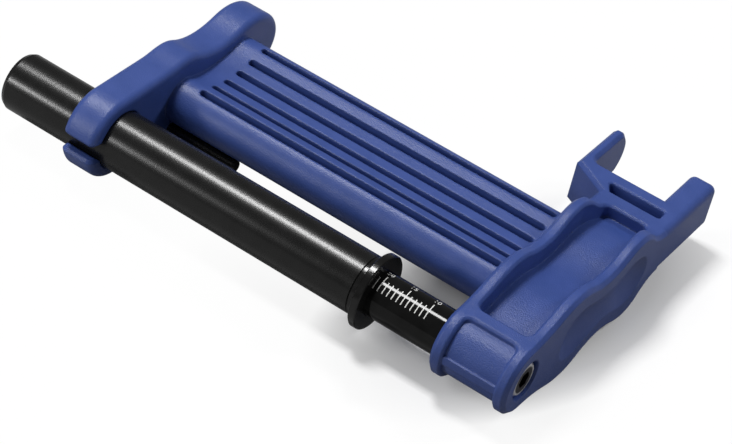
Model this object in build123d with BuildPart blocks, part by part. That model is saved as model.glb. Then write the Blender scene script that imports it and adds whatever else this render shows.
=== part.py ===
"""Chain slack gauge: a moulded grip frame with a chain fork, and a tube that slides along a
graduated rod. Millimetres. X runs along the tube, from its contact face towards the fork head.
Y runs from the tube axis across the grip to the fork. Z is up, and the frame is alike above and
below. The origin is the middle of the tube's contact face."""
import os

from build123d import *

# Sliding tube, with the bush between it and the rod
tube_diameter = 12.0
tube_wall = 1.0
bush_wall = 0.34
rod_clearance = 0.06
tube_clearance = 0.09
tube_stand_out = 16.8

# Flange bush at the reading end of the tube
flange_diameter = 15.2
flange_thickness = 1.6
flange_chamfer = 0.2
bush_length = 8.0
bush_shoulder = 1.4
bush_seam = 0.15
reading_gap = 15.6

# End plug at the contact end of the tube
plug_cap = 1.6
plug_length = 5.0
plug_edge = 0.8

# Guide collar on the rod's free end, with the drag ring in its groove
guide_length = 6.0
guide_clearance = 0.05
guide_edge = 0.4
guide_room = 0.8
spigot_diameter = 4.6
ring_section = 1.3
ring_edge = 0.35
ring_clearance = 0.05
groove_side_clearance = 0.15
guide_screw_diameter = 2.5
guide_screw_length = 8.0
guide_screw_head_diameter = 5.6
guide_screw_head_height = 1.8
guide_screw_slot = 0.7

# Frame: arm with the split clip, grip bar, head
arm_width = 7.7
arm_edge_radius = 1.5
clip_wall = 2.41
clip_gap = 3.0
clip_lip_edge = 0.7
arm_end_y = 51.3
grip_length = 75.8
head_width = 16.3
head_nose_radius = 7.1

# Wave of the arm: its flat, its crests and its dip along Y, and their half heights
arm_flat_y = 14.0
arm_crest_near_y = 20.0
arm_dip_y = 31.7
arm_crest_far_y = 41.5
arm_crest_near = 9.0
arm_dip = 6.4
arm_crest_far = 7.9
arm_shares = (0.5, 0.3, 0.6)

# Wave of the head
head_crest_near_y = 16.0
head_dip_y = 28.0
head_crest_far_y = 39.0
head_crest_near = 9.6
head_dip = 7.2
head_crest_far = 9.4
head_shares = (0.6, 0.45, 0.55, 0.5)
head_edge = 0.75

# Grip bar with its six grooves
bar_near_y = 19.0
bar_waist_y = 27.5
bar_far_y = 38.0
bar_edge_radius = 4.9
bar_waist = 3.3
bar_shares = (0.12, 0.88)
bar_web = 2.0
groove_count = 6
groove_pitch = 4.02
groove_first_y = 18.15
groove_width = 1.6
groove_arm_margin = 4.6
groove_head_margin = 1.6

# Head: rims, ribs, recesses
rim_width = 2.6
rib_near_y = -0.75
recess_near_y = 2.6
recess_far_y = 48.8
recess_taper = 1.0
recess_taper_y = 40.0
recess_corner_radius = 1.5
recess_edge = 0.5
recess_floor_near = 3.0
recess_floor_crest = 4.9
recess_floor_dip = 3.1
recess_floor_far_crest = 4.2
recess_floor_end = 2.3
recess_floor_shares = (0.5, 0.5, 0.5, 0.5)
boss_radius = 6.1
nose_band = 1.8
nose_band_radius = 6.6
pocket_corner_radius = 1.4
pocket_edge = 0.4
slot_near_y = 52.7
slot_far_y = 55.4
slot_end_margin = 3.4
slot_near_margin = 1.8
slot_far_margin = 0.2
slot_web = 3.0
slot_corner_radius = 0.6
slot_edge = 0.3

# Scoop in the outer side of the head, turned about an axis that lies outside it
scoop_axis_distance = 9.0
scoop_near_y = 12.3
scoop_crest_near_y = 17.0
scoop_dip_y = 29.5
scoop_crest_far_y = 38.0
scoop_far_y = 44.0
scoop_crest_near = 1.5
scoop_dip = 0.65
scoop_crest_far = 1.4
scoop_shares = (0.35, 0.6)

# Fork that holds the chain's side plates
fork_thickness = 10.0
fork_start_y = 50.4
fork_base_y = 58.9
fork_tip_y = 71.0
fork_gap = 15.8
outer_prong_width = 5.8
tab_thickness = 2.4
tab_bulge = 2.9
gusset_start_y = 52.0
gusset_end_y = 56.4
fork_corner_radius = 1.5
prong_corner_radius = 1.3
prong_tip_radius = 1.6
nearness = 0.01

# Rod fixing: screw and washer in a counterbore
screw_diameter = 4.0
screw_head_diameter = 7.0
screw_head_height = 4.0
screw_socket_width = 3.0
screw_socket_depth = 2.2
screw_length = 12.0
screw_head_edge = 0.35
screw_hole_clearance = 0.15
screw_head_sunk = 0.35
seat_thickness = 2.2
counterbore_diameter = 8.2
washer_diameter = 7.8
washer_thickness = 0.8
thread_end_room = 1.5

# Stub pin that stands out of the arm, its upper side level with the underside of the grip bar
pin_diameter = 3.0
pin_inset = 2.0
pin_reach = 16.2
pin_seat_depth = 5.5
pin_chamfer = 0.4

# Places worked out from the sizes above
tube_radius = tube_diameter / 2
bore_radius = tube_radius - tube_wall
clip_radius = tube_radius + tube_clearance + clip_wall
rod_radius = bore_radius - bush_wall - rod_clearance
arm_left = tube_stand_out
arm_right = arm_left + arm_width
head_left = arm_right + grip_length
head_right = head_left + head_width
flange_right = head_left - reading_gap
flange_left = flange_right - flange_thickness
tube_right = flange_left - bush_shoulder
fork_half = fork_thickness / 2
prong_inner = head_right - outer_prong_width
tab_inner = prong_inner - fork_gap
tab_outer = tab_inner - tab_thickness
counterbore_depth = washer_thickness + screw_head_height + screw_head_sunk
seat_right = head_right - counterbore_depth
rod_right = seat_right - seat_thickness
guide_left = plug_length + reading_gap + guide_room + guide_screw_head_height
guide_right = guide_left + guide_length
groove_x = guide_left + guide_length / 2
groove_wide = ring_section + 2 * groove_side_clearance
ring_outer = bore_radius - ring_clearance
ring_centre = ring_outer - ring_section / 2
groove_floor = ring_outer - ring_section - ring_clearance
pin_plane = Plane.YZ.offset(arm_right - pin_seat_depth)
pin_place = (bar_near_y - pin_inset, -bar_edge_radius - pin_diameter / 2)
tall = 3 * max(head_crest_near, clip_radius)
quarter_turn = 90


def wave(points, shares):
    """A smooth line through crests and dips, level at each. Each rise or fall is two arcs that
    touch, and its share says how far along it they meet"""
    for start, end, share in zip(points, points[1:], shares):
        rise = Vector(*end) - Vector(*start)
        meeting = Vector(*start) + rise * share
        TangentArc(start, meeting, tangent=(1, 0))
        TangentArc(end, meeting, tangent=(-1, 0))


# Frame: one moulding
with BuildPart() as arm:
    with BuildSketch(Plane.YZ.offset(arm_left)):
        with BuildLine():
            RadiusArc((-clip_radius, 0), (0, clip_radius), clip_radius)
            Line((0, clip_radius), (arm_flat_y, clip_radius))
            arm_wave = (
                (arm_flat_y, clip_radius),
                (arm_crest_near_y, arm_crest_near),
                (arm_dip_y, arm_dip),
                (arm_crest_far_y, arm_crest_far),
            )
            wave(arm_wave, arm_shares)
            EllipticalCenterArc(
                center=(arm_crest_far_y, 0),
                x_radius=arm_end_y - arm_crest_far_y,
                y_radius=arm_crest_far,
                arc_size=quarter_turn,
            )
            Line((arm_end_y, 0), (-clip_radius, 0))
        make_face()
        mirror(about=Plane.XZ)
    extrude(amount=arm_width)
    arm_ends = arm.faces().filter_by(Plane.YZ)
    fillet(arm_ends.edges(), radius=arm_edge_radius)
    with BuildSketch(Plane.YZ.offset(arm_left)):
        Circle(tube_radius + tube_clearance)
    extrude(amount=arm_width, mode=Mode.SUBTRACT)
    with BuildSketch(Plane.YZ.offset(arm_left)):
        Rectangle(clip_radius, clip_gap, align=(Align.MAX, Align.CENTER))
    extrude(amount=arm_width, mode=Mode.SUBTRACT)
    lip_edges = arm.edges(Select.LAST).filter_by(Axis.X)
    chamfer(lip_edges, length=clip_lip_edge)

with BuildPart() as bar:
    with BuildSketch(Plane.YZ.offset(arm_right - arm_edge_radius)):
        with BuildLine():
            RadiusArc((bar_near_y - bar_edge_radius, 0), (bar_near_y, bar_edge_radius), bar_edge_radius)
            bar_wave = (
                (bar_near_y, bar_edge_radius),
                (bar_waist_y, bar_waist),
                (bar_far_y, bar_edge_radius),
            )
            wave(bar_wave, bar_shares)
            RadiusArc((bar_far_y, bar_edge_radius), (bar_far_y + bar_edge_radius, 0), bar_edge_radius)
            Line((bar_far_y + bar_edge_radius, 0), (bar_near_y - bar_edge_radius, 0))
        make_face()
        mirror(about=Plane.XZ)
    extrude(amount=grip_length + arm_edge_radius + rim_width / 2)
    groove_length = grip_length - groove_arm_margin - groove_head_margin
    groove_middle = arm_right + groove_arm_margin + groove_length / 2
    for side in (1, -1):
        with BuildSketch(Plane.XY.offset(side * bar_web / 2)):
            for index in range(groove_count):
                with Locations((groove_middle, groove_first_y + index * groove_pitch)):
                    SlotOverall(groove_length, groove_width)
        extrude(amount=side * tall, mode=Mode.SUBTRACT)

# Head: a waved block, then the main recess right through it, then the web across the recess
with BuildPart() as head:
    with BuildSketch(Plane.YZ.offset(head_left)):
        with BuildLine():
            RadiusArc((-head_nose_radius, 0), (0, head_nose_radius), head_nose_radius)
            head_wave = (
                (0, head_nose_radius),
                (head_crest_near_y, head_crest_near),
                (head_dip_y, head_dip),
                (head_crest_far_y, head_crest_far),
                (fork_start_y, fork_half),
            )
            wave(head_wave, head_shares)
            Line((fork_start_y, fork_half), (fork_start_y, 0))
            Line((fork_start_y, 0), (-head_nose_radius, 0))
        make_face()
        mirror(about=Plane.XZ)
    extrude(amount=head_width)
    head_ends = head.faces().filter_by(Plane.YZ)
    chamfer(head_ends.edges().filter_by(Axis.Z, reverse=True), length=head_edge)
    with BuildSketch():
        with BuildLine():
            Polyline(
                (head_left + rim_width, recess_near_y),
                (head_right - rim_width, recess_near_y),
                (head_right - rim_width, recess_taper_y),
                (head_right - rim_width - recess_taper, recess_far_y),
                (head_left + rim_width + recess_taper, recess_far_y),
                (head_left + rim_width, recess_taper_y),
                close=True,
            )
        make_face()
        fillet(vertices(), radius=recess_corner_radius)
    extrude(amount=tall, both=True, mode=Mode.SUBTRACT)
    chamfer(head.edges(Select.LAST).filter_by(Axis.Z, reverse=True), length=recess_edge)
    with BuildSketch():
        with BuildLine():
            Polyline(
                (head_left + rim_width, rib_near_y),
                (head_right - rim_width, rib_near_y),
                (head_right - rim_width, -2 * head_nose_radius),
                (head_left + rim_width, -2 * head_nose_radius),
                close=True,
            )
        make_face()
        fillet(vertices().group_by(Axis.Y)[-1], radius=pocket_corner_radius)
    extrude(amount=tall, both=True, mode=Mode.SUBTRACT)
    chamfer(head.edges(Select.LAST).filter_by(Axis.Z, reverse=True), length=pocket_edge)

# Web that closes the main recess half way up, waved like the head
with BuildPart() as recess_web:
    with BuildSketch(Plane.YZ.offset(head_left + rim_width / 2)):
        with BuildLine():
            floor_wave = (
                (0, recess_floor_near),
                (head_crest_near_y, recess_floor_crest),
                (head_dip_y, recess_floor_dip),
                (head_crest_far_y, recess_floor_far_crest),
                (fork_start_y, recess_floor_end),
            )
            wave(floor_wave, recess_floor_shares)
            Line((fork_start_y, recess_floor_end), (fork_start_y, 0))
            Line((fork_start_y, 0), (0, 0))
            Line((0, 0), (0, recess_floor_near))
        make_face()
        mirror(about=Plane.XZ)
    extrude(amount=head_width - rim_width)

# Boss round the rod across the near pocket, with the band along the nose
with BuildPart() as rod_boss:
    with BuildSketch(Plane.YZ.offset(head_left + rim_width / 2)):
        Circle(boss_radius)
        with BuildSketch(mode=Mode.PRIVATE) as band:
            Circle(nose_band_radius)
            Rectangle(2 * head_nose_radius, nose_band, align=(Align.MAX, Align.CENTER), mode=Mode.INTERSECT)
        add(band.sketch)
    extrude(amount=head_width - rim_width)

# Scoop: a waved dish, deepest under its two crests
scoop_plane = Plane(origin=(head_right, 0, 0), x_dir=(0, 1, 0), z_dir=(0, 0, 1))
scoop_axis = Axis((head_right + scoop_axis_distance, 0, 0), (0, 1, 0))
with BuildPart() as side_scoop:
    with BuildSketch(scoop_plane):
        with BuildLine():
            TangentArc((scoop_crest_near_y, scoop_crest_near), (scoop_near_y, 0), tangent=(-1, 0))
            scoop_wave = (
                (scoop_crest_near_y, scoop_crest_near),
                (scoop_dip_y, scoop_dip),
                (scoop_crest_far_y, scoop_crest_far),
            )
            wave(scoop_wave, scoop_shares)
            TangentArc((scoop_crest_far_y, scoop_crest_far), (scoop_far_y, 0), tangent=(1, 0))
            Polyline(
                (scoop_far_y, 0),
                (scoop_far_y, -scoop_axis_distance),
                (scoop_near_y, -scoop_axis_distance),
                (scoop_near_y, 0),
            )
        make_face()
    revolve(axis=scoop_axis)

# Fork in plan, with the tab on the grip side and the square prong on the outer side
with BuildPart() as fork:
    with BuildSketch():
        with BuildLine():
            Polyline(
                (head_right, fork_start_y),
                (head_right, fork_tip_y),
                (prong_inner, fork_tip_y),
                (prong_inner, fork_base_y),
                (tab_inner, fork_base_y),
                (tab_inner, fork_tip_y),
                (tab_outer, fork_tip_y),
                (tab_outer, gusset_end_y),
                (head_left, gusset_start_y),
                (head_left, fork_start_y),
                close=True,
            )
        make_face()
        fillet(vertices().group_by(Axis.Y)[-1].sort_by(Axis.X)[-2:], radius=prong_corner_radius)
        fork_corners = vertices().filter_by_position(Axis.Y, fork_base_y - nearness, fork_base_y + nearness)
        fillet(fork_corners.sort_by(Axis.X)[0], radius=fork_corner_radius)
    extrude(amount=fork_half, both=True)
    with BuildSketch(Plane.YZ.offset(tab_outer)):
        with BuildLine():
            ThreePointArc(
                (fork_tip_y, -fork_half),
                (fork_tip_y + tab_bulge, 0),
                (fork_tip_y, fork_half),
            )
            Line((fork_tip_y, fork_half), (fork_tip_y, -fork_half))
        make_face()
    extrude(amount=tab_thickness)
    tip_edges = fork.edges().filter_by(Axis.X).group_by(Axis.Y)[-1]
    fillet(tip_edges.group_by(Axis.X)[-1], radius=prong_tip_radius)
    outline_edges = fork.faces().filter_by(Plane.XY).edges().filter_by(Axis.X, reverse=True)
    side_arcs = fork.edges().filter_by(GeomType.CIRCLE).filter_by(Plane.YZ)
    chamfer(outline_edges + side_arcs, length=head_edge)
    with BuildSketch():
        with BuildLine():
            Polyline(
                (head_left + slot_near_margin, slot_near_y),
                (head_right - slot_end_margin, slot_near_y),
                (head_right - slot_end_margin, slot_far_y),
                (head_left + slot_far_margin, slot_far_y),
                close=True,
            )
        make_face()
        fillet(vertices(), radius=slot_corner_radius)
    extrude(amount=fork_thickness, both=True, mode=Mode.SUBTRACT)
    chamfer(fork.edges(Select.LAST).filter_by(Axis.Z, reverse=True), length=slot_edge)
    with BuildSketch():
        with Locations(((head_left + head_right) / 2, (slot_near_y + slot_far_y) / 2)):
            Rectangle(head_width - head_edge, slot_far_y - slot_near_y + slot_corner_radius)
    extrude(amount=slot_web / 2, both=True)

with BuildPart() as frame:
    add(head.part)
    add(fork.part)
    add(recess_web.part)
    add(rod_boss.part)
    add(side_scoop.part, mode=Mode.SUBTRACT)
    with BuildSketch(Plane.YZ.offset(head_left)):
        Circle(rod_radius)
    extrude(amount=rod_right - head_left, mode=Mode.SUBTRACT)
    with BuildSketch(Plane.YZ.offset(rod_right)):
        Circle(screw_diameter / 2 + screw_hole_clearance)
    extrude(amount=seat_thickness, mode=Mode.SUBTRACT)
    with BuildSketch(Plane.YZ.offset(seat_right)):
        Circle(counterbore_diameter / 2)
    extrude(amount=counterbore_depth, mode=Mode.SUBTRACT)
    add(bar.part)
    add(arm.part)
    with BuildSketch(pin_plane):
        with Locations(pin_place):
            Circle(pin_diameter / 2)
    extrude(amount=pin_seat_depth, mode=Mode.SUBTRACT)
frame.part.label = "frame"

# Scale rod: round rod with a spigot at its free end, tapped at both ends
with BuildPart() as scale_rod:
    with BuildSketch(Plane.YZ.offset(guide_right)):
        Circle(rod_radius)
    extrude(amount=rod_right - guide_right)
    with BuildSketch(Plane.YZ.offset(guide_left)):
        Circle(spigot_diameter / 2)
    extrude(amount=guide_length)
    with BuildSketch(Plane.YZ.offset(guide_left)):
        Circle(guide_screw_diameter / 2)
    extrude(amount=guide_screw_length + thread_end_room, mode=Mode.SUBTRACT)
    tapped_depth = screw_length - seat_thickness - washer_thickness + thread_end_room
    with BuildSketch(Plane.YZ.offset(rod_right - tapped_depth)):
        Circle(screw_diameter / 2)
    extrude(amount=tapped_depth, mode=Mode.SUBTRACT)
scale_rod.part.label = "scale_rod"

# Guide collar: centres the rod in the tube and stops the bush when the tube is pulled out
with BuildPart() as guide_collar:
    with BuildSketch(Plane.YZ.offset(guide_left)):
        Circle(bore_radius - guide_clearance)
    extrude(amount=guide_length)
    chamfer(guide_collar.edges().group_by(Axis.X)[0], length=guide_edge)
    with BuildSketch(Plane.YZ.offset(guide_left)):
        Circle(spigot_diameter / 2)
    extrude(amount=guide_length, mode=Mode.SUBTRACT)
    with BuildSketch(Plane.YZ.offset(groove_x - groove_wide / 2)):
        Circle(bore_radius)
        Circle(groove_floor, mode=Mode.SUBTRACT)
    extrude(amount=groove_wide, mode=Mode.SUBTRACT)
guide_collar.part.label = "guide_collar"

# Guide screw: holds the collar on the spigot
with BuildPart() as guide_screw:
    with BuildSketch(Plane.YZ.offset(guide_left - guide_screw_head_height)):
        Circle(guide_screw_head_diameter / 2)
    extrude(amount=guide_screw_head_height)
    chamfer(guide_screw.edges().group_by(Axis.X)[0], length=guide_edge)
    with BuildSketch(Plane.YZ.offset(guide_left)):
        Circle(guide_screw_diameter / 2)
    extrude(amount=guide_screw_length)
    with BuildSketch(Plane.YZ.offset(guide_left - guide_screw_head_height)):
        Rectangle(guide_screw_head_diameter, guide_screw_slot)
    extrude(amount=guide_screw_head_height / 2, mode=Mode.SUBTRACT)
guide_screw.part.label = "guide_screw"

# Drag ring: rubber ring that gives the tube its hold
with BuildPart() as drag_ring:
    with BuildSketch(Plane.XY):
        with Locations((groove_x, ring_centre)):
            Rectangle(ring_section, ring_section)
        chamfer(vertices(), length=ring_edge)
    revolve(axis=Axis.X)
drag_ring.part.label = "drag_ring"

# Sliding tube between the plug's cap and the bush's shoulder
with BuildPart() as slide_tube:
    with BuildSketch(Plane.YZ.offset(plug_cap)):
        Circle(tube_radius)
        Circle(bore_radius, mode=Mode.SUBTRACT)
    extrude(amount=tube_right - plug_cap)
    chamfer(slide_tube.edges().group_by(Axis.X)[-1].sort_by(SortBy.LENGTH)[-1], length=bush_seam)
slide_tube.part.label = "slide_tube"

# Flange bush: spigot in the tube's bore, shoulder against its end, and the flange
with BuildPart() as flange_bush:
    with BuildSketch(Plane.YZ.offset(flange_left)):
        Circle(flange_diameter / 2)
    extrude(amount=flange_thickness)
    chamfer(flange_bush.edges(), length=flange_chamfer)
    with BuildSketch(Plane.YZ.offset(tube_right)):
        Circle(tube_radius)
    extrude(amount=bush_shoulder)
    chamfer(flange_bush.edges().group_by(Axis.X)[0], length=bush_seam)
    with BuildSketch(Plane.YZ.offset(flange_left - bush_length)):
        Circle(bore_radius)
    extrude(amount=bush_length)
    with BuildSketch(Plane.YZ.offset(flange_left - bush_length)):
        Circle(rod_radius + rod_clearance)
    extrude(amount=bush_length + flange_thickness, mode=Mode.SUBTRACT)
flange_bush.part.label = "flange_bush"

# End plug: closes the tube and carries the contact face
with BuildPart() as end_plug:
    with BuildSketch(Plane.YZ):
        Circle(tube_radius)
    extrude(amount=plug_cap)
    chamfer(end_plug.edges().group_by(Axis.X)[0], length=plug_edge, length2=plug_edge / 2)
    with BuildSketch(Plane.YZ.offset(plug_cap)):
        Circle(bore_radius)
        Circle(bore_radius - tube_wall, mode=Mode.SUBTRACT)
    extrude(amount=plug_length - plug_cap)
end_plug.part.label = "end_plug"

# Washer and socket head screw
with BuildPart() as screw_washer:
    with BuildSketch(Plane.YZ.offset(seat_right)):
        Circle(washer_diameter / 2)
        Circle(screw_diameter / 2 + screw_hole_clearance, mode=Mode.SUBTRACT)
    extrude(amount=washer_thickness)
screw_washer.part.label = "screw_washer"

head_seat = seat_right + washer_thickness
with BuildPart() as rod_screw:
    with BuildSketch(Plane.YZ.offset(head_seat)):
        Circle(screw_head_diameter / 2)
    extrude(amount=screw_head_height)
    chamfer(rod_screw.edges().group_by(Axis.X)[-1], length=screw_head_edge)
    with BuildSketch(Plane.YZ.offset(head_seat - screw_length)):
        Circle(screw_diameter / 2)
    extrude(amount=screw_length)
    with BuildSketch(Plane.YZ.offset(head_seat + screw_head_height)):
        RegularPolygon(screw_socket_width / 2, 6, major_radius=False)
    extrude(amount=-screw_socket_depth, mode=Mode.SUBTRACT)
rod_screw.part.label = "rod_screw"

# Stub pin, pressed into the arm
with BuildPart() as stub_pin:
    with BuildSketch(pin_plane):
        with Locations(pin_place):
            Circle(pin_diameter / 2)
    extrude(amount=pin_seat_depth + pin_reach)
    chamfer(stub_pin.edges().group_by(Axis.X)[-1], length=pin_chamfer)
stub_pin.part.label = "stub_pin"

os.makedirs("parts", exist_ok=True)
pieces = (
    frame,
    scale_rod,
    guide_collar,
    guide_screw,
    drag_ring,
    slide_tube,
    flange_bush,
    end_plug,
    screw_washer,
    rod_screw,
    stub_pin,
)
for piece in pieces:
    export_step(piece.part, f"parts/{piece.part.label}.step")
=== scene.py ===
import math

import bmesh
import bpy
from mathutils import Matrix, Vector


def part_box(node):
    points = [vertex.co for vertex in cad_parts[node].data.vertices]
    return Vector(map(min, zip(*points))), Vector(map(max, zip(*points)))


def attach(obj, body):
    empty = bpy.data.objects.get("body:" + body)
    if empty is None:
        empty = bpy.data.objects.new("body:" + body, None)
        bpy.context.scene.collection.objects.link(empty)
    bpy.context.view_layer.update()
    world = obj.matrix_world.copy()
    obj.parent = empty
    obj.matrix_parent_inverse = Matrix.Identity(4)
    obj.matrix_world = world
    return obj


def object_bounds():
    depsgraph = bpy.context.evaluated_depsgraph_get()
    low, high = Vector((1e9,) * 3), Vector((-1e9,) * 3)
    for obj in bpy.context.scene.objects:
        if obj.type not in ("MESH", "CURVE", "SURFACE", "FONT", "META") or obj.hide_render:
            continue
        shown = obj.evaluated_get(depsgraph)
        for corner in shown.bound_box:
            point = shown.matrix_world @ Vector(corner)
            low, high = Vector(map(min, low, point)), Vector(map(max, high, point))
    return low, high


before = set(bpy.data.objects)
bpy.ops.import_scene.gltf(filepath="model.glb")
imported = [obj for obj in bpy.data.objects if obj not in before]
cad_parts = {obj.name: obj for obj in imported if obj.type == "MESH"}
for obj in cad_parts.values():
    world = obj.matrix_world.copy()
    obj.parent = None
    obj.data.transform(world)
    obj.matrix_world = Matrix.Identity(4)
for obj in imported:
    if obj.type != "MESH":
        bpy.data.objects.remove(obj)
cad_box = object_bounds()

# Finish of the moulding, in metres
MOULDED_DARK = (0.036, 0.069, 0.250)
MOULDED_PALE = (0.044, 0.079, 0.278)
MOTTLE_GRAIN = 0.004
SPARK_GRAIN = 0.00024
SPARK_DEPTH = 0.00009
SPARK_SHARE_OFF_HEAD = 0.6
HEAD_WIDTH = 0.0163
HEAD_BLUR = 0.002
MOULDED_EDGE = 0.0006
EDGE_SAMPLES = 6

# Finish of the anodised pieces, in metres
ANODISED_DARK = (0.004, 0.004, 0.004)
ANODISED_PALE = (0.007, 0.007, 0.007)
ANODISED_TONE_GRAIN = 0.003
ANODISED_LEVEL = 0.42
SATIN_GRAIN = 0.00023
SATIN_DEPTH = 0.000015
GLOSS_GRAIN = 0.0004
GLOSS_DEPTH = 0.000004
GLOSS_LEVEL = 0.22
FLANGE_GRAIN = 0.0005
FLANGE_DEPTH = 0.00003

# Finish of the screws, in metres, and the painted shade and painted highlight of the screw head
STEEL_TONE_GRAIN = 0.0012
STEEL_GRAIN = 0.00012
STEEL_DEPTH = 0.00001
# Colours of the screw head: a painted shade in its middle and a painted highlight on its rim
PAINTED_SHADE_MIDDLE = (0.035, 0.030, 0.030)
PAINTED_RIM_HIGHLIGHT = (0.90, 0.89, 0.90)
SCREW_GRAIN = 0.0003
SCREW_DEPTH = 0.00006
PAINTED_RIM_BLUR = 0.00012
PAINTED_RIM_SHARE = 0.78

# Finish of the ring, the collar and the ink, in metres
RUBBER_GRAIN = 0.0002
ACETAL_GRAIN = 0.0004
INK_GRAIN = 0.00015

# Where the noise of a tone starts and ends its change of colour
TONE_START = 0.3
TONE_END = 0.7

# Print on the rod, in metres and degrees
TICK_PITCH = 0.001022
TICK_COUNT = 55
LAST_TICK_X = 0.09596
TICK_WIDTH = 0.0002
PRINT_THICKNESS = 0.000015
TICK_LOW_ANGLE = 134.5
TICK_SHORT_ANGLE = 103.5
TICK_LONG_ANGLE = 91.0
NUMBER_ANGLE = 76.0
NUMBER_HEIGHT = 0.00155
FIRST_NUMBER = 10
NUMBER_STEP = 5
FACES_PER_TICK_ARC = 12
NUMBER_CURVE_STEPS = 3
WELD_DISTANCE = 1e-7

# Camera, as it stood to the object
CAMERA_PLACE = Vector((0.2362, -0.3192, 0.2961))
CAMERA_RIGHT = Vector((0.8099, 0.5583, 0.1797))
CAMERA_UP = Vector((-0.4735, 0.4417, 0.7620))
CAMERA_BACK = Vector((0.3461, -0.7023, 0.6221))
CAMERA_LENS = 125.5
SENSOR_WIDTH = 36.0
CLIP_START = 0.01
CLIP_END = 20.0

# Floor: its level to the camera, in the light it throws back and in reflections, and the painted glow that
# fades its shadow into white
FLOOR_SIZE = 3.0
FLOOR_GAP = 0.0002
FLOOR_WHITE = 0.98
FLOOR_BOUNCED = 0.24
FLOOR_MIRRORED = 0.36
# Place, reach and stops of the painted glow, seen only by the camera, that fades the shadow into white
SHADOW_PLACE = Vector((0.102, 0.032, 0.0))
SHADOW_REACH = Vector((0.021, 0.045, 1.0))
SHADOW_TURN = math.radians(-16.0)
SHADOW_FADE = [(0.22, 0.06), (0.30, 0.25), (0.355, 0.50), (0.41, 0.86), (0.80, 0.98)]
SHADOW_FADE_SPAN = 3.0

# Lamps, with their places from the middle of the object, and the light from all round
KEY_PLACE = Vector((-0.35, 0.03, 0.93))
KEY_SIZE = (0.2, 0.25)
KEY_POWER = 6.6
EDGE_PLACE = Vector((0.30, 0.30, 0.34))
EDGE_SIZE = (0.12, 0.12)
EDGE_POWER = 0.95
FRONT_PLACE = Vector((-0.23, -0.32, 0.138))
FRONT_SIZE = (0.05, 0.05)
FRONT_POWER = 0.32
FILL_PLACE = Vector((-0.45, -0.75, 0.75))
FILL_SIZE = (0.5, 0.5)
FILL_POWER = 3.0
WORLD_STRENGTH = 0.15


def principled(name):
    """A new material with its nodes, links and main shader."""
    material = bpy.data.materials.new(name)
    material.use_nodes = True
    nodes = material.node_tree.nodes
    return material, nodes, material.node_tree.links, nodes["Principled BSDF"]


def object_coordinates(nodes):
    """The socket of the object's own coordinates, in metres."""
    return nodes.new("ShaderNodeTexCoord").outputs["Object"]


def noise(nodes, links, place, grain, detail=2.0, roughness=0.5):
    """Noise whose features are about one grain across."""
    node = nodes.new("ShaderNodeTexNoise")
    node.inputs["Scale"].default_value = 1.0 / grain
    node.inputs["Detail"].default_value = detail
    node.inputs["Roughness"].default_value = roughness
    links.new(place, node.inputs["Vector"])
    return node.outputs["Fac"]


def ramp(nodes, links, value, stops):
    """A colour ramp through the given (position, colour) stops."""
    node = nodes.new("ShaderNodeValToRGB")
    elements = node.color_ramp.elements
    for index, (position, colour) in enumerate(stops):
        element = elements[index] if index < 2 else elements.new(position)
        element.position = position
        element.color = (*colour, 1.0)
    links.new(value, node.inputs["Fac"])
    return node.outputs["Color"]


def remap(nodes, links, value, low, high):
    """The value, from 0 to 1, turned into low to high."""
    node = nodes.new("ShaderNodeMapRange")
    node.inputs["To Min"].default_value = low
    node.inputs["To Max"].default_value = high
    links.new(value, node.inputs["Value"])
    return node.outputs["Result"]


def tones(nodes, links, value, dark, pale, shader):
    """Base colour of the shader that goes from dark to pale with the value."""
    colour = ramp(nodes, links, value, [(TONE_START, dark), (TONE_END, pale)])
    links.new(colour, shader.inputs["Base Color"])


def soft_edges(nodes, radius):
    """The normal of edges that look rounded by the radius."""
    node = nodes.new("ShaderNodeBevel")
    node.samples = EDGE_SAMPLES
    node.inputs["Radius"].default_value = radius
    return node.outputs["Normal"]


def bump(nodes, links, height, depth, strength, shader, below=None):
    """Bump node of the given depth in metres on the shader, over the normal below if there is one."""
    node = nodes.new("ShaderNodeBump")
    node.inputs["Distance"].default_value = depth
    node.inputs["Strength"].default_value = strength
    links.new(height, node.inputs["Height"])
    if below is not None:
        links.new(below, node.inputs["Normal"])
    links.new(node.outputs["Normal"], shader.inputs["Normal"])
    return node


def moulded_plastic(head_left):
    """Blue moulded plastic with a fine sparked surface, stronger on the head than left of it."""
    material, nodes, links, shader = principled("moulded blue")
    place = object_coordinates(nodes)
    tones(nodes, links, noise(nodes, links, place, MOTTLE_GRAIN), MOULDED_DARK, MOULDED_PALE, shader)
    grain = noise(nodes, links, place, SPARK_GRAIN)
    links.new(remap(nodes, links, grain, 0.30, 0.46), shader.inputs["Roughness"])
    sparks = bump(nodes, links, grain, SPARK_DEPTH, 1.0, shader, soft_edges(nodes, MOULDED_EDGE))
    parts = nodes.new("ShaderNodeSeparateXYZ")
    links.new(place, parts.inputs["Vector"])
    share = nodes.new("ShaderNodeMapRange")
    share.inputs["From Min"].default_value = head_left - HEAD_BLUR
    share.inputs["From Max"].default_value = head_left + HEAD_BLUR
    share.inputs["To Min"].default_value = SPARK_SHARE_OFF_HEAD
    links.new(parts.outputs["X"], share.inputs["Value"])
    links.new(share.outputs["Result"], sparks.inputs["Strength"])
    shader.inputs["Specular IOR Level"].default_value = 0.45
    return material


def anodised(name, low, high, grain_size, depth, strength, level=ANODISED_LEVEL):
    """Black anodised aluminium; low and high are its roughness, level how much it mirrors."""
    material, nodes, links, shader = principled(name)
    place = object_coordinates(nodes)
    tones(nodes, links, noise(nodes, links, place, ANODISED_TONE_GRAIN), ANODISED_DARK, ANODISED_PALE, shader)
    grain = noise(nodes, links, place, grain_size, detail=3.0)
    links.new(remap(nodes, links, grain, low, high), shader.inputs["Roughness"])
    bump(nodes, links, grain, depth, strength, shader)
    shader.inputs["Specular IOR Level"].default_value = level
    return material


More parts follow.
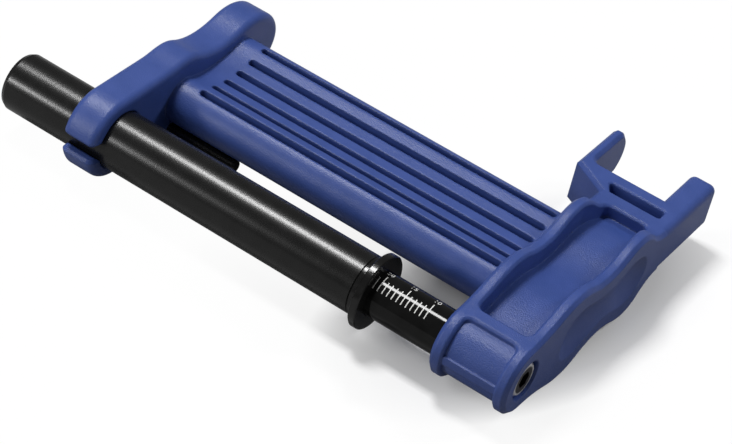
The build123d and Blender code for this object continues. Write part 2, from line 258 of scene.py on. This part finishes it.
def plated_steel():
    """Nickel plated steel with a fine grain."""
    material, nodes, links, shader = principled("plated steel")
    place = object_coordinates(nodes)
    tone = noise(nodes, links, place, STEEL_TONE_GRAIN)
    tones(nodes, links, tone, (0.46, 0.45, 0.43), (0.60, 0.59, 0.56), shader)
    shader.inputs["Metallic"].default_value = 1.0
    grain = noise(nodes, links, place, STEEL_GRAIN, detail=3.0)
    links.new(remap(nodes, links, grain, 0.22, 0.40), shader.inputs["Roughness"])
    bump(nodes, links, grain, STEEL_DEPTH, 0.3, shader)
    return material


def worn_screw(rim_radius):
    """Steel of the screw head with painted light: a painted shade darkens its middle, and a painted highlight
    brightens it from rim_radius outward.
    """
    material, nodes, links, shader = principled("screw with painted shade and highlight")
    place = object_coordinates(nodes)
    parts = nodes.new("ShaderNodeSeparateXYZ")
    links.new(place, parts.inputs["Vector"])
    across = nodes.new("ShaderNodeCombineXYZ")
    links.new(parts.outputs["Y"], across.inputs["Y"])
    links.new(parts.outputs["Z"], across.inputs["Z"])
    radius = nodes.new("ShaderNodeVectorMath")
    radius.operation = "LENGTH"
    links.new(across.outputs["Vector"], radius.inputs[0])
    # Painted highlight from rim_radius outward, painted shade inside it
    painted_rim_mask = nodes.new("ShaderNodeMapRange")
    painted_rim_mask.inputs["From Min"].default_value = rim_radius - PAINTED_RIM_BLUR
    painted_rim_mask.inputs["From Max"].default_value = rim_radius + PAINTED_RIM_BLUR
    links.new(radius.outputs["Value"], painted_rim_mask.inputs["Value"])
    colour = ramp(nodes, links, painted_rim_mask.outputs["Result"], [(0.0, PAINTED_SHADE_MIDDLE), (1.0, PAINTED_RIM_HIGHLIGHT)])
    links.new(colour, shader.inputs["Base Color"])
    shader.inputs["Metallic"].default_value = 1.0
    grain = noise(nodes, links, place, SCREW_GRAIN, detail=3.0)
    links.new(remap(nodes, links, grain, 0.25, 0.45), shader.inputs["Roughness"])
    bump(nodes, links, grain, SCREW_DEPTH, 0.6, shader)
    return material


def rubber():
    """Black rubber of the drag ring."""
    material, nodes, links, shader = principled("ring rubber")
    place = object_coordinates(nodes)
    grain = noise(nodes, links, place, RUBBER_GRAIN)
    tones(nodes, links, grain, (0.011, 0.011, 0.011), (0.018, 0.018, 0.018), shader)
    links.new(remap(nodes, links, grain, 0.55, 0.75), shader.inputs["Roughness"])
    return material


def acetal():
    """Natural white plastic of the guide collar."""
    material, nodes, links, shader = principled("natural acetal")
    place = object_coordinates(nodes)
    grain = noise(nodes, links, place, ACETAL_GRAIN)
    tones(nodes, links, grain, (0.68, 0.67, 0.63), (0.76, 0.75, 0.71), shader)
    links.new(remap(nodes, links, grain, 0.3, 0.42), shader.inputs["Roughness"])
    return material


def white_print():
    """White ink of the lines and numbers, a little uneven."""
    material, nodes, links, shader = principled("white print")
    place = object_coordinates(nodes)
    grain = noise(nodes, links, place, INK_GRAIN)
    tones(nodes, links, grain, (0.62, 0.62, 0.60), (0.80, 0.80, 0.78), shader)
    links.new(remap(nodes, links, grain, 0.4, 0.55), shader.inputs["Roughness"])
    return material


def finish_node(name, material):
    """Gives a CAD node its material."""
    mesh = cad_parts[name].data
    mesh.materials.clear()
    mesh.materials.append(material)


def new_object(name, shape, material, body):
    """Makes an object from a bmesh, which rides a body."""
    bmesh.ops.remove_doubles(shape, verts=shape.verts, dist=WELD_DISTANCE)
    bmesh.ops.recalc_face_normals(shape, faces=shape.faces)
    mesh = bpy.data.meshes.new(name)
    shape.to_mesh(mesh)
    shape.free()
    mesh.materials.append(material)
    made = bpy.data.objects.new(name, mesh)
    bpy.context.scene.collection.objects.link(made)
    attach(made, body)


def rod_direction(angle):
    """Unit vector square to the rod, at an angle from +Y towards +Z, in degrees."""
    return Vector((0, math.cos(math.radians(angle)), math.sin(math.radians(angle))))


def add_tick(shape, middle, low_angle, high_angle, radius):
    """Adds one printed line round the rod, from low_angle to high_angle."""
    start = rod_direction(low_angle)
    corners = []
    for along, out in ((-0.5, 0), (0.5, 0), (0.5, 1), (-0.5, 1)):
        place = start * (radius + out * PRINT_THICKNESS)
        place.x = middle + along * TICK_WIDTH
        corners.append(shape.verts.new(place))
    first = shape.faces.new(corners)
    bmesh.ops.spin(
        shape,
        geom=[first],
        cent=Vector((0, 0, 0)),
        axis=Vector((1, 0, 0)),
        angle=math.radians(high_angle - low_angle),
        steps=FACES_PER_TICK_ARC,
        use_merge=False,
    )


def rod_scale(radius):
    """All the printed lines in one mesh."""
    shape = bmesh.new()
    for index in range(TICK_COUNT):
        middle = LAST_TICK_X - index * TICK_PITCH
        high = TICK_LONG_ANGLE if index % NUMBER_STEP == 0 else TICK_SHORT_ANGLE
        add_tick(shape, middle, TICK_LOW_ANGLE, high, radius)
    return shape


def rod_number(value, middle, radius):
    """A printed number, bent round the rod, as a bmesh."""
    curve = bpy.data.curves.new("number", "FONT")
    curve.body = str(value)
    curve.size = NUMBER_HEIGHT
    curve.align_x = "CENTER"
    curve.align_y = "CENTER"
    curve.resolution_u = NUMBER_CURVE_STEPS
    text = bpy.data.objects.new("number", curve)
    bpy.context.scene.collection.objects.link(text)
    bpy.context.view_layer.update()
    mesh = bpy.data.meshes.new_from_object(text)
    bpy.data.objects.remove(text)
    shape = bmesh.new()
    shape.from_mesh(mesh)
    bpy.data.meshes.remove(mesh)
    raised = bmesh.ops.extrude_face_region(shape, geom=shape.faces[:])
    lifted = {item for item in raised["geom"] if isinstance(item, bmesh.types.BMVert)}
    for vert in shape.verts:
        angle = NUMBER_ANGLE - math.degrees(vert.co.y / radius)
        out = radius + (PRINT_THICKNESS if vert in lifted else 0)
        place = rod_direction(angle) * out
        place.x = middle + vert.co.x
        vert.co = place
    return shape


def join_shapes(shapes):
    """One bmesh from several."""
    whole = bmesh.new()
    for shape in shapes:
        mesh = bpy.data.meshes.new("part")
        shape.to_mesh(mesh)
        shape.free()
        whole.from_mesh(mesh)
        bpy.data.meshes.remove(mesh)
    return whole


# Materials of the CAD nodes
blue = moulded_plastic(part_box("frame")[1].x - HEAD_WIDTH)
satin_black = anodised("satin black", 0.20, 0.34, SATIN_GRAIN, SATIN_DEPTH, 0.5)
gloss_black = anodised("gloss black", 0.07, 0.11, GLOSS_GRAIN, GLOSS_DEPTH, 0.1, level=GLOSS_LEVEL)
flange_black = anodised("flange black", 0.12, 0.26, FLANGE_GRAIN, FLANGE_DEPTH, 0.6)
steel = plated_steel()
finish_node("frame", blue)
finish_node("slide_tube", satin_black)
finish_node("flange_bush", flange_black)
finish_node("end_plug", satin_black)
finish_node("stub_pin", satin_black)
finish_node("scale_rod", gloss_black)
# The screw head gets a painted shade in its middle and a painted highlight on its rim
finish_node("rod_screw", worn_screw(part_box("rod_screw")[1].y * PAINTED_RIM_SHARE))
finish_node("screw_washer", steel)
finish_node("guide_screw", steel)
finish_node("guide_collar", acetal())
finish_node("drag_ring", rubber())

# Print on the rod
rod_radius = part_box("scale_rod")[1].y
ink = white_print()
new_object("scale_lines", rod_scale(rod_radius), ink, "grip")
numbers = []
for index in range(0, TICK_COUNT, NUMBER_STEP):
    numbers.append(rod_number(FIRST_NUMBER + index, LAST_TICK_X - index * TICK_PITCH, rod_radius))
new_object("scale_numbers", join_shapes(numbers), ink, "grip")


def white_floor(level):
    """White floor with the object's real shadow, darker in reflections and in the light it throws back; a
    painted glow that the camera sees fades the shadow into white away from the head.
    """
    shape = bmesh.new()
    bmesh.ops.create_grid(shape, x_segments=1, y_segments=1, size=FLOOR_SIZE)
    bmesh.ops.translate(shape, verts=shape.verts, vec=Vector((0, 0, level)))
    mesh = bpy.data.meshes.new("floor")
    shape.to_mesh(mesh)
    shape.free()
    floor = bpy.data.objects.new("floor", mesh)
    bpy.context.scene.collection.objects.link(floor)
    material, nodes, links, shader = principled("floor")
    shader.inputs["Roughness"].default_value = 1.0
    shader.inputs["Specular IOR Level"].default_value = 0.0
    path = nodes.new("ShaderNodeLightPath")
    level_seen = nodes.new("ShaderNodeMath")
    level_seen.operation = "MULTIPLY_ADD"
    level_seen.inputs[1].default_value = FLOOR_WHITE - FLOOR_BOUNCED
    level_seen.inputs[2].default_value = FLOOR_BOUNCED
    links.new(path.outputs["Is Camera Ray"], level_seen.inputs[0])
    level_mirrored = nodes.new("ShaderNodeMath")
    level_mirrored.operation = "MULTIPLY_ADD"
    level_mirrored.inputs[1].default_value = FLOOR_MIRRORED - FLOOR_BOUNCED
    links.new(path.outputs["Is Glossy Ray"], level_mirrored.inputs[0])
    links.new(level_seen.outputs["Value"], level_mirrored.inputs[2])
    links.new(level_mirrored.outputs["Value"], shader.inputs["Base Color"])
    # Painted light: a glow that only the camera sees fades the real shadow into white away from the head
    place = nodes.new("ShaderNodeMapping")
    place.vector_type = "TEXTURE"
    place.inputs["Location"].default_value = SHADOW_PLACE
    place.inputs["Rotation"].default_value.z = SHADOW_TURN
    place.inputs["Scale"].default_value = SHADOW_REACH
    links.new(object_coordinates(nodes), place.inputs["Vector"])
    distance = nodes.new("ShaderNodeVectorMath")
    distance.operation = "LENGTH"
    links.new(place.outputs["Vector"], distance.inputs[0])
    share = nodes.new("ShaderNodeMath")
    share.operation = "DIVIDE"
    share.inputs[1].default_value = SHADOW_FADE_SPAN
    links.new(distance.outputs["Value"], share.inputs[0])
    stops = [(at, (grey, grey, grey)) for at, grey in SHADOW_FADE]
    painted_shadow_lightening = ramp(nodes, links, share.outputs["Value"], stops)
    seen = nodes.new("ShaderNodeMath")
    seen.operation = "MULTIPLY"
    links.new(painted_shadow_lightening, seen.inputs[0])
    links.new(path.outputs["Is Camera Ray"], seen.inputs[1])
    white = nodes.new("ShaderNodeEmission")
    blend = nodes.new("ShaderNodeMixShader")
    links.new(seen.outputs["Value"], blend.inputs["Fac"])
    links.new(shader.outputs["BSDF"], blend.inputs[1])
    links.new(white.outputs["Emission"], blend.inputs[2])
    links.new(blend.outputs["Shader"], nodes["Material Output"].inputs["Surface"])
    mesh.materials.append(material)


def soft_lamp(name, place, aim, size, power, mirrored=True):
    """A square soft lamp that points at aim, seen in shiny surfaces only if mirrored."""
    lamp = bpy.data.lights.new(name, "AREA")
    lamp.shape = "RECTANGLE"
    lamp.size, lamp.size_y = size
    lamp.energy = power
    holder = bpy.data.objects.new(name, lamp)
    bpy.context.scene.collection.objects.link(holder)
    holder.location = place
    holder.rotation_mode = "QUATERNION"
    holder.rotation_quaternion = (aim - place).to_track_quat("-Z", "Y")
    holder.visible_glossy = mirrored


def studio_world(strength):
    """Even light from all round, white to the camera."""
    world = bpy.data.worlds.new("studio")
    bpy.context.scene.world = world
    world.use_nodes = True
    nodes, links = world.node_tree.nodes, world.node_tree.links
    background = nodes["Background"]
    background.inputs["Color"].default_value = (1, 1, 1, 1)
    path = nodes.new("ShaderNodeLightPath")
    level = nodes.new("ShaderNodeMapRange")
    level.inputs["To Min"].default_value = strength
    level.inputs["To Max"].default_value = 1.0
    links.new(path.outputs["Is Camera Ray"], level.inputs["Value"])
    links.new(level.outputs["Result"], background.inputs["Strength"])


middle = (cad_box[0] + cad_box[1]) / 2
white_floor(cad_box[0].z - FLOOR_GAP)
studio_world(WORLD_STRENGTH)
soft_lamp("key", middle + KEY_PLACE, middle, KEY_SIZE, KEY_POWER)
soft_lamp("edge", middle + EDGE_PLACE, middle, EDGE_SIZE, EDGE_POWER, mirrored=False)
soft_lamp("front", middle + FRONT_PLACE, middle, FRONT_SIZE, FRONT_POWER)
soft_lamp("fill", middle + FILL_PLACE, middle, FILL_SIZE, FILL_POWER, mirrored=False)

camera_data = bpy.data.cameras.new("camera")
camera_data.lens = CAMERA_LENS
camera_data.sensor_width = SENSOR_WIDTH
camera_data.sensor_fit = "HORIZONTAL"
camera_data.clip_start = CLIP_START
camera_data.clip_end = CLIP_END
camera = bpy.data.objects.new("camera", camera_data)
bpy.context.scene.collection.objects.link(camera)
axes = Matrix((CAMERA_RIGHT, CAMERA_UP, CAMERA_BACK)).transposed()
camera.matrix_world = Matrix.Translation(CAMERA_PLACE) @ axes.to_4x4()
bpy.context.scene.camera = camera
bpy.context.scene.view_settings.view_transform = "Standard"
